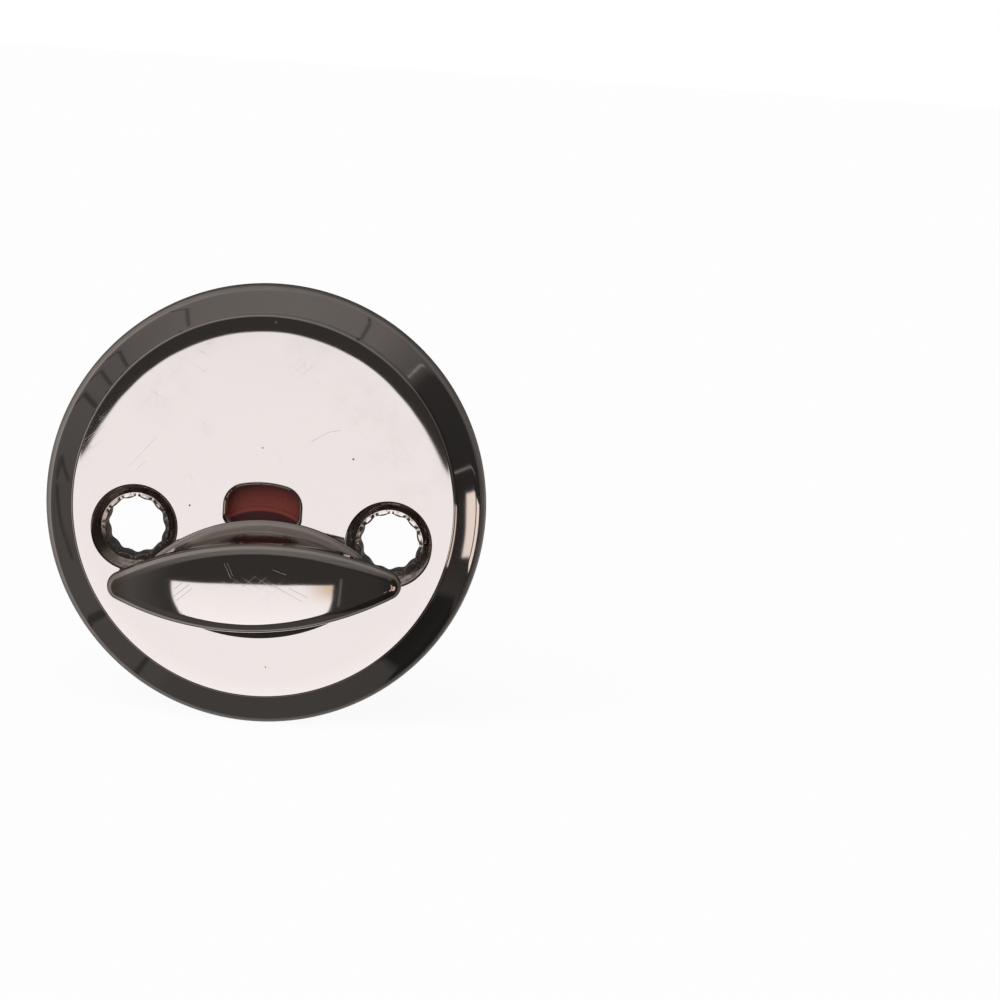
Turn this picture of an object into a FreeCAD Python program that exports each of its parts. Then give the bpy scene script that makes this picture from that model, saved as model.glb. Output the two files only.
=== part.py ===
"""Inside rose of a bathroom lock: polished plate, thumb turn and occupied indicator.

Frame: the back of the rose lies on the door face, the plane Y = 0, and its front looks along -Y.
+Z is up, and the origin is on the turning axis. Each body is drawn with x to the right, y up and
z out of the door, and its placement stands it upright. Lengths are in millimetres.
"""
import FreeCAD
import Part
import math
import os
import Sketcher
from FreeCAD import Placement, Rotation, Vector

DRIVING_SIZES = {
    # Rose, from its back outwards
    "rose_radius": (26.0, "outline of the rose"),
    "rose_height": (5.0, "door face to polished face"),
    "side_height": (1.5, "straight side above the door face"),
    "lip_knee_width": (0.29, "steep bevel of the lip, measured inwards"),
    "lip_knee_height": (2.42, "height where the steep bevel ends"),
    "lip_width": (1.05, "whole lip, measured inwards"),
    "lip_height": (3.0, "height where the lip meets the band"),
    "band_width": (3.15, "sloping band from the outline to the step"),
    "step_foot_height": (3.76, "height where the band meets the step"),
    "step_run": (0.2, "lean of the step"),
    "face_edge": (0.3, "bevel of the polished face's edge"),
    "rim_width": (3.0, "flat rim on the back, round the hollow"),
    "cavity_depth": (2.6, "depth of the hollow in the back"),
    "axis_drop": (8.5, "centre of the rose down to the turning axis"),
    # Screw holes
    "screw_spacing": (30.0, "distance between the screw holes"),
    "screw_rise": (5.1, "screw holes above the turning axis"),
    "screw_bore_radius": (3.6, "clear bore"),
    "countersink_radius": (5.05, "countersink at the face"),
    "countersink_angle": (90.0, "angle of the countersink in degrees"),
    "boss_radius": (6.4, "boss round the bore, inside the hollow"),
    "notch_width": (0.36, "notch in the bore's wall, its width there"),
    "notch_depth": (0.3, "notch in the bore's wall, its depth"),
    "notch_count": (12, "notches round each bore"),
    # Window
    "window_width": (9.5, "width of the window"),
    "window_height": (5.0, "height of the window in its middle"),
    "window_rise": (0.25, "middle of the window above the centre of the rose"),
    "window_top_radius": (8.25, "arched upper edge"),
    "window_sill_radius": (18.0, "lower edge, bowed upwards"),
    "window_top_corner": (2.0, "rounding of the upper corners"),
    "window_sill_corner": (1.5, "rounding of the lower corners"),
    # Grip of the thumb turn
    "grip_rise": (9.5, "top of the grip above the polished face"),
    "grip_half_length": (17.2, "turning axis to the tip of a wing"),
    "grip_half_width": (5.2, "half the width of the wings"),
    "grip_tip_radius": (1.7, "rounding of the wing's tip in outline"),
    "wing_rise": (5.6, "underside of the wings above the polished face"),
    "waist_half_length": (12.4, "narrowest section under the wings"),
    "waist_half_width": (5.1, "half the width of that section"),
    "waist_tip_radius": (2.4, "rounding of its ends"),
    "waist_rise": (3.0, "height of that section above the polished face"),
    "foot_half_length": (13.3, "foot on the rose"),
    "foot_half_width": (7.0, "half the width of the foot"),
    "foot_tip_radius": (3.9, "rounding of its ends"),
    "crown_radius": (55.0, "crown of the grip along the wings"),
    "grip_edge": (0.8, "bevel of the grip's front edge"),
    # Hub, tail and spindle
    "hub_radius": (4.5, "hub that turns in the bush"),
    "hub_half_flat": (3.7, "axis to the flats that drive the disc"),
    "flat_top": (2.22, "height where the flats end"),
    "tail_length": (6.0, "tail of the hub behind the door face"),
    "spindle_side": (5.0, "square of the spindle"),
    "spindle_reach": (45.0, "end of the spindle behind the door face"),
    "spindle_chamfer": (0.6, "chamfer of the spindle's end"),
    "socket_top": (8.6, "blind end of the square socket"),
    "socket_clearance": (0.05, "spindle to socket, each side"),
    "spindle_end_gap": (0.2, "spindle to the blind end of its socket"),
    "pin_radius": (1.0, "cross pin"),
    "pin_depth": (3.4, "cross pin behind the door face"),
    # Bush and the stack behind the face
    "bush_radius": (5.45, "bore of the rose that holds the bush"),
    "bush_flange_radius": (5.95, "flange of the bush, under the foot"),
    "bush_flange_thickness": (0.3, "flange of the bush"),
    "running_clearance": (0.05, "hub in its bush, and each sliding gap along the axis"),
    "washer_radius": (8.25, "friction washer"),
    "washer_thickness": (0.3, "friction washer"),
    "washer_bore_clearance": (0.1, "washer, spring and ring round the hub"),
    "disc_radius": (11.25, "indicator disc"),
    "disc_thickness": (0.8, "indicator disc"),
    "disc_rim_clearance": (0.25, "disc to the pocket in the rose"),
    "disc_fit": (0.04, "disc on the hub's flats"),
    "spring_radius": (7.0, "outer edge of the conical spring"),
    "spring_height": (0.38, "height of the conical spring"),
    "spring_thickness": (0.18, "its sheet, measured along the axis"),
    "ring_thickness": (0.6, "retaining ring"),
    "ring_radius": (5.7, "outer edge of the retaining ring"),
    "ring_groove_radius": (3.9, "bottom of the groove in the hub"),
    "ring_opening": (70.0, "gap of the ring in degrees"),
    "ear_radius": (1.0, "ears at the ring's ends"),
    "ear_hole_radius": (0.45, "holes in the ears"),
    # Stop
    "lug_radius": (1.2, "stop lug"),
    "lug_reach": (9.6, "turning axis to the stop lug"),
    "lug_end_height": (0.9, "free end of the lug above the door face"),
    "lug_bearing": (315.0, "direction of the lug in degrees from 3 o'clock"),
    "lug_clearance": (0.2, "lug to the floor of its notch"),
    "lug_end_play": (0.8, "free turn left at each stop in degrees"),
    "turn_travel": (90.0, "turn from locked to free in degrees"),
    "rest_turn": (4.0, "turn away from the locked stop at rest in degrees"),
}
ROOT_OVERLAP = 0.3
# A quarter of the way along a parabola through three values: the share of the near, middle and far one
NEAR_SHARE, MIDDLE_SHARE, FAR_SHARE = 0.375, 0.75, -0.125
QUARTER_TURN = 90.0
FULL_TURN = 360.0
DEGREES_PER_RADIAN = 180.0 / math.pi


class Size:
    """A number together with the sheet expression that gives it."""

    def __init__(self, value, text):
        self.value = value
        self.text = text

    @staticmethod
    def of(other):
        return other if isinstance(other, Size) else Size(float(other), repr(float(other)))

    def joined(self, other, sign, value):
        return Size(value, "(%s %s %s)" % (self.text, sign, Size.of(other).text))

    def __add__(self, other):
        return self.joined(other, "+", self.value + Size.of(other).value)

    def __sub__(self, other):
        return self.joined(other, "-", self.value - Size.of(other).value)

    def __mul__(self, other):
        return self.joined(other, "*", self.value * Size.of(other).value)

    def __truediv__(self, other):
        return self.joined(other, "/", self.value / Size.of(other).value)

    def __neg__(self):
        return Size(-self.value, "(-1 * %s)" % self.text)

    def root(self):
        return Size(math.sqrt(self.value), "sqrt(%s)" % self.text)


class Sizes:
    """The driving sizes by name, each as a Size that points at its cell."""

    def __init__(self, doc, table):
        self.sheet = doc.addObject("Spreadsheet::Sheet", "Sizes")
        for row, (alias, (number, meaning)) in enumerate(table.items(), start=1):
            self.sheet.set("A%d" % row, alias)
            self.sheet.set("B%d" % row, str(number))
            self.sheet.setAlias("B%d" % row, alias)
            self.sheet.set("C%d" % row, meaning)
            setattr(self, alias, Size(float(number), "Sizes.%s" % alias))


doc = FreeCAD.newDocument("ThumbTurnRose")
s = Sizes(doc, DRIVING_SIZES)
doc.recompute()

ZERO = Size.of(0.0)
WALL_HOLE_DROP = s.axis_drop - s.screw_rise
FOOT_HEIGHT = s.rose_height + s.bush_flange_thickness + s.running_clearance
GRIP_TOP = s.rose_height + s.grip_rise
POCKET_RADIUS = s.disc_radius + s.disc_rim_clearance
WASHER_TOP = s.cavity_depth - s.running_clearance
DISC_TOP = WASHER_TOP - s.washer_thickness - s.running_clearance
DISC_BOTTOM = DISC_TOP - s.disc_thickness
SPRING_BOTTOM = DISC_BOTTOM - s.running_clearance - s.spring_height
RING_TOP = SPRING_BOTTOM - s.running_clearance
RING_BOTTOM = RING_TOP - s.ring_thickness
LOOSE_BORE = s.hub_radius + s.washer_bore_clearance


# Drawing helpers


def bind(thing, prop, amount):
    """Ties a property to the sheet."""
    thing.setExpression(prop, Size.of(amount).text)


def new_body(label):
    body = doc.addObject("PartDesign::Body", label)
    body.Label = label
    return body


def origin_plane(body, role):
    return next(f for f in body.Origin.OriginFeatures if f.Role == role)


def new_sketch(body, name, role, lift=None, along="z"):
    """An empty sketch on one of the body's own planes, moved by lift along a sketch direction."""
    sketch = body.newObject("Sketcher::SketchObject", name)
    sketch.AttachmentSupport = [(origin_plane(body, role), "")]
    sketch.MapMode = "FlatFace"
    if lift is not None:
        bind(sketch, "AttachmentOffset.Base.%s" % along, lift)
    return sketch


def pin_axis(sketch, kind, axis, point, amount):
    """Holds one coordinate of a sketch point at a size, on either side of the origin."""
    if abs(amount.value) < 1e-9:
        sketch.addConstraint(Sketcher.Constraint("PointOnObject", *point, axis))
        return
    ends = ((-1, 1) + point) if amount.value > 0 else (point + (-1, 1))
    held = amount if amount.value > 0 else -amount
    index = sketch.addConstraint(Sketcher.Constraint(kind, *ends, held.value))
    bind(sketch, "Constraints[%d]" % index, held)


def pin_point(sketch, point, place):
    pin_axis(sketch, "DistanceX", -2, point, place[0])
    pin_axis(sketch, "DistanceY", -1, point, place[1])


def add_circle(sketch, place, radius):
    centre = Vector(place[0].value, place[1].value, 0)
    edge = sketch.addGeometry(Part.Circle(centre, Vector(0, 0, 1), radius.value))
    pin_point(sketch, (edge, 3), place)
    index = sketch.addConstraint(Sketcher.Constraint("Radius", edge, radius.value))
    bind(sketch, "Constraints[%d]" % index, radius)


def arc_between(start, end, radius, hollow):
    """Arc under half a turn; it bulges to the right of the way from start to end, or left if hollow."""
    chord = end - start
    half = chord.Length / 2
    side = Vector(-chord.y, chord.x, 0).normalize() * (-1 if hollow else 1)
    centre = (start + end) * 0.5 + side * math.sqrt(max(radius * radius - half * half, 0.0))
    first, last = (end, start) if hollow else (start, end)
    angles = [math.atan2(p.y - centre.y, p.x - centre.x) for p in (first, last)]
    return Part.ArcOfCircle(Part.Circle(centre, Vector(0, 0, 1), radius), *angles)


def add_outline(sketch, corners, arcs=None, hollow=()):
    """Closed outline through the corners; arcs gives the radius of the runs that are round."""
    arcs = arcs or {}
    places = [Vector(x.value, y.value, 0) for x, y in corners]
    count = len(corners)
    ends = []
    for run in range(count):
        start, end = places[run], places[(run + 1) % count]
        if run in arcs:
            edge = sketch.addGeometry(arc_between(start, end, arcs[run].value, run in hollow))
            ends.append(((edge, 2), (edge, 1)) if run in hollow else ((edge, 1), (edge, 2)))
            index = sketch.addConstraint(Sketcher.Constraint("Radius", edge, arcs[run].value))
            bind(sketch, "Constraints[%d]" % index, arcs[run])
        else:
            edge = sketch.addGeometry(Part.LineSegment(start, end))
            ends.append(((edge, 1), (edge, 2)))
    for run in range(count):
        joint = ends[run][1] + ends[(run + 1) % count][0]
        sketch.addConstraint(Sketcher.Constraint("Coincident", *joint))
        pin_point(sketch, ends[run][0], corners[run])


def add_box_outline(sketch, low, high):
    add_outline(sketch, [(low[0], low[1]), (high[0], low[1]), (high[0], high[1]), (low[0], high[1])])


def add_lens(sketch, half_length, half_width, tip):
    """Pointed oval: two flat arcs that run smoothly into round tips."""
    reach = half_length - tip
    flat = (reach * reach + half_width * half_width - tip * tip) / ((half_width - tip) * 2)
    share = tip / (flat - tip)
    touch_x = reach + reach * share
    touch_y = (flat - half_width) * share
    corners = [(touch_x, -touch_y), (touch_x, touch_y), (-touch_x, touch_y), (-touch_x, -touch_y)]
    add_outline(sketch, corners, {0: tip, 1: flat, 2: tip, 3: flat})


def add_flatted_circle(sketch, radius, half_flat):
    """Circle with two flats, left and right."""
    height = (radius * radius - half_flat * half_flat).root()
    corners = [(half_flat, -height), (half_flat, height), (-half_flat, height), (-half_flat, -height)]
    add_outline(sketch, corners, {1: radius, 3: radius})


def pad(body, name, sketch, length):
    feature = body.newObject("PartDesign::Pad", name)
    feature.Profile = sketch
    bind(feature, "Length", length)
    return feature


def pocket_up(body, name, sketch, depth=None):
    """Cut that starts at the sketch and goes out of the door, right through if no depth is given."""
    before = solid_of(body).Volume
    feature = body.newObject("PartDesign::Pocket", name)
    feature.Profile = sketch
    feature.Reversed = True
    if depth is None:
        feature.Type = "ThroughAll"
    else:
        bind(feature, "Length", depth)
    if solid_of(body).Volume >= before:
        raise RuntimeError("%s cuts nothing" % name)
    return feature


def cut_across(body, name, sketch, width):
    """Cut to both sides of an upright sketch."""
    feature = body.newObject("PartDesign::Pocket", name)
    feature.Profile = sketch
    feature.Midplane = True
    bind(feature, "Length", width)
    return feature


def turned(body, kind, name, sketch, angle=FULL_TURN, axis="V_Axis", middle=False):
    feature = body.newObject("PartDesign::%s" % kind, name)
    feature.Profile = sketch
    feature.ReferenceAxis = (sketch, [axis])
    feature.Midplane = middle
    bind(feature, "Angle", angle)
    return feature


def solid_of(body):
    doc.recompute()
    return body.Shape


def edges_where(feature, test):
    return ["Edge%d" % number for number, edge in enumerate(feature.Shape.Edges, start=1) if test(edge)]


def bevel(body, name, base, size, test):
    doc.recompute()
    feature = body.newObject("PartDesign::Chamfer", name)
    feature.Base = (base, edges_where(base, test))
    bind(feature, "Size", size)


# Rose


def rose_blank(body):
    """Turned form of the plate: side, bevelled lip, sloping band, step and polished face."""
    band_end = s.rose_radius - s.band_width
    face_radius = band_end - s.step_run
    profile = new_sketch(body, "RoseProfile", "XZ_Plane")
    add_outline(profile, [
        (ZERO, ZERO), (s.rose_radius, ZERO), (s.rose_radius, s.side_height),
        (s.rose_radius - s.lip_knee_width, s.lip_knee_height),
        (s.rose_radius - s.lip_width, s.lip_height), (band_end, s.step_foot_height),
        (face_radius, s.rose_height - s.face_edge), (face_radius - s.face_edge, s.rose_height),
        (ZERO, s.rose_height),
    ])
    turned(body, "Revolution", "RoseBlank", profile)


def rose_back(body):
    """Hollow back with two screw bosses, a round pocket for the disc and the stop lug."""
    hollow = new_sketch(body, "HollowOutline", "XY_Plane")
    add_circle(hollow, (ZERO, ZERO), s.rose_radius - s.rim_width)
    pocket_up(body, "Hollow", hollow, s.cavity_depth)
    bosses = new_sketch(body, "BossOutlines", "XY_Plane")
    for side in (-0.5, 0.5):
        add_circle(bosses, (s.screw_spacing * side, -WALL_HOLE_DROP), s.boss_radius)
    pad(body, "Bosses", bosses, s.cavity_depth + ROOT_OVERLAP)
    disc_room = new_sketch(body, "DiscRoomOutline", "XY_Plane")
    add_circle(disc_room, (ZERO, -s.axis_drop), POCKET_RADIUS)
    pocket_up(body, "DiscRoom", disc_room, s.cavity_depth)
    bearing = math.radians(s.lug_bearing.value)
    lug = new_sketch(body, "LugOutline", "XY_Plane", s.lug_end_height)
    lug_place = (s.lug_reach * math.cos(bearing), s.lug_reach * math.sin(bearing) - s.axis_drop)
    add_circle(lug, lug_place, s.lug_radius)
    pad(body, "StopLug", lug, s.cavity_depth - s.lug_end_height + ROOT_OVERLAP)


def rose_window(body):
    """Kidney-like window: arched top, bowed sill, rounded corners."""
    half = s.window_width / 2
    middle = s.window_rise
    top_centre = middle + s.window_height / 2 - s.window_top_radius
    sill_centre = middle - s.window_height / 2 - s.window_sill_radius
    top_in, sill_out = s.window_top_radius - s.window_top_corner, s.window_sill_radius + s.window_sill_corner
    top_x, sill_x = half - s.window_top_corner, half - s.window_sill_corner
    top_rise = (top_in * top_in - top_x * top_x).root()
    sill_rise = (sill_out * sill_out - sill_x * sill_x).root()
    top_share = s.window_top_radius / top_in
    sill_share = s.window_sill_radius / sill_out
    right = [
        (half, sill_centre + sill_rise),
        (half, top_centre + top_rise),
        (top_x * top_share, top_centre + top_rise * top_share),
    ]
    left = [(-x, y) for x, y in reversed(right)]
    sill = (sill_x * sill_share, sill_centre + sill_rise * sill_share)
    corners = right + left + [(-sill[0], sill[1]), sill]
    arcs = {1: s.window_top_corner, 2: s.window_top_radius, 3: s.window_top_corner,
            5: s.window_sill_corner, 6: s.window_sill_radius, 7: s.window_sill_corner}
    outline = new_sketch(body, "WindowOutline", "XY_Plane")
    add_outline(outline, corners, arcs, hollow=(6,))
    pocket_up(body, "Window", outline)


def rose_holes(body):
    """Bore for the bush and two countersunk screw holes with notched walls."""
    bush_seat = new_sketch(body, "BushSeatOutline", "XY_Plane")
    add_circle(bush_seat, (ZERO, -s.axis_drop), s.bush_radius)
    pocket_up(body, "BushSeat", bush_seat)
    centres = new_sketch(body, "ScrewCentres", "XY_Plane", s.rose_height)
    for side in (-0.5, 0.5):
        add_circle(centres, (s.screw_spacing * side, -WALL_HOLE_DROP), s.screw_bore_radius)
    doc.recompute()
    holes = body.newObject("PartDesign::Hole", "ScrewHoles")
    holes.Profile = centres
    holes.DepthType = "ThroughAll"
    holes.HoleCutType = "Countersink"
    holes.HoleCutCustomValues = True
    bind(holes, "Diameter", s.screw_bore_radius * 2)
    bind(holes, "HoleCutDiameter", s.countersink_radius * 2)
    bind(holes, "HoleCutCountersinkAngle", s.countersink_angle)
    for name, side in (("Left", -0.5), ("Right", 0.5)):
        notch = new_sketch(body, "%sNotchOutline" % name, "XY_Plane", s.screw_spacing * side, "x")
        bind(notch, "AttachmentOffset.Base.y", -WALL_HOLE_DROP)
        foot = s.screw_bore_radius - s.notch_depth
        tip = s.screw_bore_radius + s.notch_depth
        add_outline(notch, [(-s.notch_width, foot), (s.notch_width, foot), (ZERO, tip)])
        first = pocket_up(body, "%sNotch" % name, notch)
        ring = body.newObject("PartDesign::PolarPattern", "%sNotches" % name)
        ring.Originals = [first]
        ring.Axis = (notch, ["N_Axis"])
        ring.Angle = FULL_TURN
        bind(ring, "Occurrences", s.notch_count)
        body.Tip = ring


def make_rose():
    body = new_body("rose")
    rose_blank(body)
    rose_back(body)
    rose_window(body)
    rose_holes(body)
    return body


# Thumb turn


def between(near, middle, far):
    """Section a quarter of the way along a parabola through three sections."""
    return [n * NEAR_SHARE + m * MIDDLE_SHARE + f * FAR_SHARE for n, m, f in zip(near, middle, far)]


def grip_form(body):
    """Boat-shaped grip: foot, waist and wings lofted through pointed ovals, and a crowned front."""
    foot = [FOOT_HEIGHT, s.foot_half_length, s.foot_half_width, s.foot_tip_radius]
    waist = [s.rose_height + s.waist_rise, s.waist_half_length, s.waist_half_width, s.waist_tip_radius]
    wing = [s.rose_height + s.wing_rise, s.grip_half_length, s.grip_half_width, s.grip_tip_radius]
    sections = {
        "Foot": foot, "Flare": between(foot, waist, wing), "Waist": waist,
        "Arch": between(wing, waist, foot), "Wing": wing,
    }
    outlines = []
    for name, (height, half_length, half_width, tip) in sections.items():
        outline = new_sketch(body, "%sOutline" % name, "XY_Plane", height)
        add_lens(outline, half_length, half_width, tip)
        outlines.append(outline)
    doc.recompute()
    flank = body.newObject("PartDesign::AdditiveLoft", "GripFlank")
    flank.Profile = outlines[0]
    flank.Sections = outlines[1:]
    flank.Ruled = True
    doc.recompute()
    pad(body, "Wings", outlines[-1], s.grip_rise - s.wing_rise)
    crown = new_sketch(body, "CrownProfile", "XZ_Plane")
    half = s.grip_half_length + s.grip_edge
    shoulder = GRIP_TOP - s.crown_radius + (s.crown_radius * s.crown_radius - half * half).root()
    above = GRIP_TOP + s.grip_edge
    corners = [(half, shoulder), (half, above), (-half, above), (-half, shoulder)]
    add_outline(crown, corners, {3: s.crown_radius}, hollow=(3,))
    front = cut_across(body, "Crown", crown, s.grip_half_width * 4)
    doc.recompute()
    crown_face = max(front.Shape.Faces, key=lambda face: face.CenterOfMass.z)
    bevel(body, "GripEdge", front, s.grip_edge,
          lambda edge: any(edge.isSame(rim) for rim in crown_face.Edges))


def hub_form(body):
    """Hub and tail under the foot, with drive flats, ring groove, square socket and pin hole."""
    tail = new_sketch(body, "HubOutline", "XY_Plane", -s.tail_length)
    add_circle(tail, (ZERO, ZERO), s.hub_radius)
    pad(body, "Hub", tail, s.tail_length + FOOT_HEIGHT + ROOT_OVERLAP)
    flats = new_sketch(body, "FlatsOutline", "XY_Plane", -s.tail_length)
    reach = s.hub_radius * 2
    add_box_outline(flats, (s.hub_half_flat, -reach), (reach, reach))
    add_box_outline(flats, (-reach, -reach), (-s.hub_half_flat, reach))
    pocket_up(body, "DriveFlats", flats, s.tail_length + s.flat_top)
    groove = new_sketch(body, "RingGrooveProfile", "XZ_Plane")
    add_box_outline(groove, (s.ring_groove_radius, RING_BOTTOM), (reach, RING_TOP))
    turned(body, "Groove", "RingGroove", groove)
    socket = new_sketch(body, "SocketOutline", "XY_Plane", -s.tail_length)
    half = s.spindle_side / 2 + s.socket_clearance
    add_box_outline(socket, (-half, -half), (half, half))
    pocket_up(body, "Socket", socket, s.tail_length + s.socket_top)
    cross_hole(body)


def cross_hole(body):
    """Round hole along x for the cross pin."""
    outline = new_sketch(body, "PinHoleOutline", "YZ_Plane")
    add_circle(outline, (ZERO, -s.pin_depth), s.pin_radius)
    cut_across(body, "PinHole", outline, s.hub_radius * 4)


def make_thumb_turn():
    body = new_body("thumb_turn")
    grip_form(body)
    hub_form(body)
    return body


def make_square_spindle():
    body = new_body("square_spindle")
    end = new_sketch(body, "SpindleOutline", "XY_Plane", -s.spindle_reach)
    half = s.spindle_side / 2
    add_box_outline(end, (-half, -half), (half, half))
    bar = pad(body, "Bar", end, s.spindle_reach + s.socket_top - s.spindle_end_gap)
    far_end = -s.spindle_reach.value
    bevel(body, "EndChamfer", bar, s.spindle_chamfer,
          lambda edge: abs(edge.BoundBox.ZMax - far_end) < 1e-6)
    cross_hole(body)
    return body


def make_spindle_pin():
    body = new_body("spindle_pin")
    outline = new_sketch(body, "PinOutline", "YZ_Plane")
    add_circle(outline, (ZERO, -s.pin_depth), s.pin_radius)
    pin = pad(body, "Pin", outline, s.hub_half_flat * 2)
    pin.Midplane = True
    return body


# Bush, washer, disc, spring and ring


def make_bearing_bush():
    body = new_body("bearing_bush")
    bore = s.hub_radius + s.running_clearance
    flange_top = s.rose_height + s.bush_flange_thickness
    profile = new_sketch(body, "BushProfile", "XZ_Plane")
    add_outline(profile, [
        (bore, s.cavity_depth), (s.bush_radius, s.cavity_depth), (s.bush_radius, s.rose_height),
        (s.bush_flange_radius, s.rose_height), (s.bush_flange_radius, flange_top), (bore, flange_top),
    ])
    turned(body, "Revolution", "Sleeve", profile)
    return body


def make_hub_washer():
    body = new_body("hub_washer")
    outline = new_sketch(body, "WasherOutline", "XY_Plane", WASHER_TOP - s.washer_thickness)
    add_circle(outline, (ZERO, ZERO), s.washer_radius)
    add_circle(outline, (ZERO, ZERO), LOOSE_BORE)
    pad(body, "Washer", outline, s.washer_thickness)
    return body


def make_indicator_disc():
    """Disc keyed to the hub's flats, with a rim notch as long as the turn's travel."""
    body = new_body("indicator_disc")
    outline = new_sketch(body, "DiscOutline", "XY_Plane", DISC_BOTTOM)
    add_circle(outline, (ZERO, ZERO), s.disc_radius)
    add_flatted_circle(outline, s.hub_radius + s.disc_fit, s.hub_half_flat + s.disc_fit)
    pad(body, "Disc", outline, s.disc_thickness)
    notch = new_sketch(body, "StopNotchProfile", "YZ_Plane")
    floor = s.lug_reach - s.lug_radius - s.lug_clearance
    add_box_outline(notch, (-(s.disc_radius * 2), ZERO), (-floor, s.cavity_depth))
    lug_angle = s.lug_radius / s.lug_reach * DEGREES_PER_RADIAN
    opening = s.turn_travel + (lug_angle + s.lug_end_play) * 2
    turned(body, "Groove", "StopNotch", notch, opening, middle=True)
    return body


def make_cone_spring():
    body = new_body("cone_spring")
    profile = new_sketch(body, "SpringProfile", "XZ_Plane")
    top = SPRING_BOTTOM + s.spring_height
    add_outline(profile, [
        (LOOSE_BORE, SPRING_BOTTOM), (s.spring_radius, top - s.spring_thickness),
        (s.spring_radius, top), (LOOSE_BORE, SPRING_BOTTOM + s.spring_thickness),
    ])
    turned(body, "Revolution", "Cone", profile)
    return body


def make_retaining_ring():
    """Open ring with two eared ends, the gap below."""
    body = new_body("retaining_ring")
    profile = new_sketch(body, "RingProfile", "YZ_Plane")
    inner = s.ring_groove_radius + s.running_clearance
    play = s.running_clearance / 2
    low, high = RING_BOTTOM + play, RING_TOP - play
    add_box_outline(profile, (inner, low), (s.ring_radius, high))
    turned(body, "Revolution", "Ring", profile, -s.ring_opening + FULL_TURN, middle=True)
    bearing = math.radians(s.ring_opening.value / 2)
    reach = s.ring_radius
    for name, side in (("Left", -1), ("Right", 1)):
        place = (reach * (side * math.sin(bearing)), reach * -math.cos(bearing))
        ear = new_sketch(body, "%sEarOutline" % name, "XY_Plane", low)
        add_circle(ear, place, s.ear_radius)
        pad(body, "%sEar" % name, ear, high - low)
        hole = new_sketch(body, "%sEarHoleOutline" % name, "XY_Plane", low)
        add_circle(hole, place, s.ear_hole_radius)
        pocket_up(body, "%sEarHole" % name, hole, high - low)
    return body


# Assembly


def stand_upright(turn=0.0):
    """Door face to the plane Y = 0, front to -Y, after a turn about the body's own axis."""
    return Rotation(Vector(1, 0, 0), QUARTER_TURN).multiply(Rotation(Vector(0, 0, 1), turn))


def assemble():
    rose = make_rose()
    rose.Placement = Placement(Vector(0, 0, s.axis_drop.value), stand_upright())
    bind(rose, "Placement.Base.z", s.axis_drop)
    bush = make_bearing_bush()
    bush.Placement = Placement(Vector(), stand_upright())
    turning = [
        make_thumb_turn(), make_hub_washer(), make_indicator_disc(), make_cone_spring(),
        make_retaining_ring(), make_square_spindle(), make_spindle_pin(),
    ]
    for body in turning:
        body.Placement = Placement(Vector(), stand_upright(s.rest_turn.value))
    return [rose, bush] + turning


def check(bodies):
    doc.recompute()
    for item in doc.Objects:
        if "Invalid" in item.State or "Error" in item.State:
            raise RuntimeError("%s is in state %s" % (item.Label, item.State))
    for body in bodies:
        shape = body.Shape
        if shape.isNull() or not shape.isValid() or len(shape.Solids) != 1:
            raise RuntimeError("%s is not one valid solid" % body.Label)


bodies = assemble()
check(bodies)
os.makedirs("parts", exist_ok=True)
for body in bodies:
    body.Shape.exportStep("parts/%s.step" % body.Label)
    box = body.Shape.BoundBox
    print("%-16s %9.2f mm3  x %.2f..%.2f  y %.2f..%.2f  z %.2f..%.2f" % (
        body.Label, body.Shape.Volume, box.XMin, box.XMax, box.YMin, box.YMax, box.ZMin, box.ZMax))
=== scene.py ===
"""Looks of a bathroom thumb turn on its round rose.

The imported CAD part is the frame. The rose and the thumb turn are drawn again here as fine surfaces for
their polish, the pieces behind them keep their CAD meshes, and every piece gets its own finish.
Heights are measured out of the door face, so a point with height h lies at y = -h.
"""

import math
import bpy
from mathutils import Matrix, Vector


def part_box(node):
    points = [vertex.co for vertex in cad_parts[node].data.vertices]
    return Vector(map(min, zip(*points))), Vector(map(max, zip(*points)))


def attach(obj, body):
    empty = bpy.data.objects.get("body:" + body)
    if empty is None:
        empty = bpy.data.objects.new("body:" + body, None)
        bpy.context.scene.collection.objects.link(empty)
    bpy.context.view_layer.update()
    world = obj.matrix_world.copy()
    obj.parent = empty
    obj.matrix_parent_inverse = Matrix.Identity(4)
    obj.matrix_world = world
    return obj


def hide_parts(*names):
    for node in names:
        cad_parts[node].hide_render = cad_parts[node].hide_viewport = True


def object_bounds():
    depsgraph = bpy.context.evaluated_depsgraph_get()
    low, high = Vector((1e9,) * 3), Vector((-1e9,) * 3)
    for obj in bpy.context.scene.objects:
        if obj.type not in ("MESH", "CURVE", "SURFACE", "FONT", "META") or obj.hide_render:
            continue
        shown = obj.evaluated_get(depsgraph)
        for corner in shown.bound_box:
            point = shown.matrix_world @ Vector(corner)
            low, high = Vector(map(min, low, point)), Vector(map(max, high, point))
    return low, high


bl_info = {
    "name": "Thumb Turn Rose",
    "version": (1, 0, 0),
    "blender": (4, 5, 0),
    "location": "View3D > Sidebar > Thumb Turn",
    "description": "Surfaces, finishes and studio for a bathroom thumb turn on a round rose",
    "category": "Object",
}

import bmesh
import bpy
import numpy as np
from mathutils import Matrix, Vector
from mathutils.geometry import delaunay_2d_cdt

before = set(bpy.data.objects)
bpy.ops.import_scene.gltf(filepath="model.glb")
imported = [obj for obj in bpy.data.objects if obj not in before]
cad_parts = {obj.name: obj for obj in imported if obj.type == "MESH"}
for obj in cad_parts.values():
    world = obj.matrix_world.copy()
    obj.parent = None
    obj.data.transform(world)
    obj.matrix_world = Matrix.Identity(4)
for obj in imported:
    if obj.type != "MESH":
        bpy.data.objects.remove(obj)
CAD_BOX = [list(corner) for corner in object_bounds()]

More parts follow.
